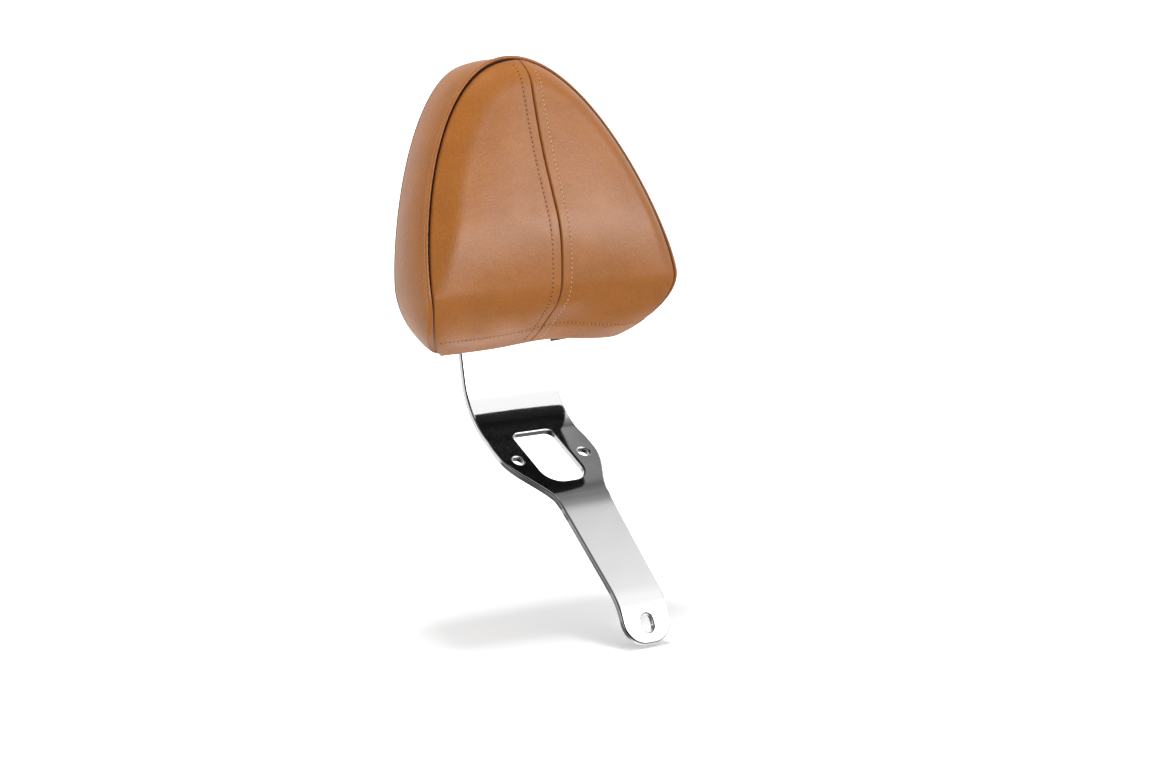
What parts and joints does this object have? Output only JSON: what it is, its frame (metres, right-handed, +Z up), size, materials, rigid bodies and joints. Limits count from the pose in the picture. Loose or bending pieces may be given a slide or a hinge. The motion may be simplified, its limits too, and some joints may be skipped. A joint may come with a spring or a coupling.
{
  "type": "sissy bar",
  "caption": "Padded motorcycle backrest: a crowned leather pad on one bent, chromed steel plate with a windowed saddle, bolt holes and a slotted toe.",
  "frame": {"origin": "middle of the slot in the toe, on the face that bears on the motorcycle", "axes": "+Z up, +X to the left of someone leaning on the pad, -Y forward, the way the padded front and the toe point"},
  "size_m": [0.2136, 0.2255, 0.3956],
  "materials": {
    "chromed_steel": "polished",
    "plywood": "matte",
    "foam": "matte",
    "leather": "satin",
    "zinc_steel": "satin"
  },
  "bodies": {
    "root": {"mounting_plate": "chromed_steel", "back_board": "plywood", "front_foam": "foam", "back_foam": "foam", "cover_front_left": "leather", "cover_front_right": "leather", "cover_side_band": "leather", "cover_back_panel": "leather", "plate_bolts": "zinc_steel", "plate_washers": "zinc_steel", "tee_nuts": "zinc_steel"}
  },
  "joints": []
}
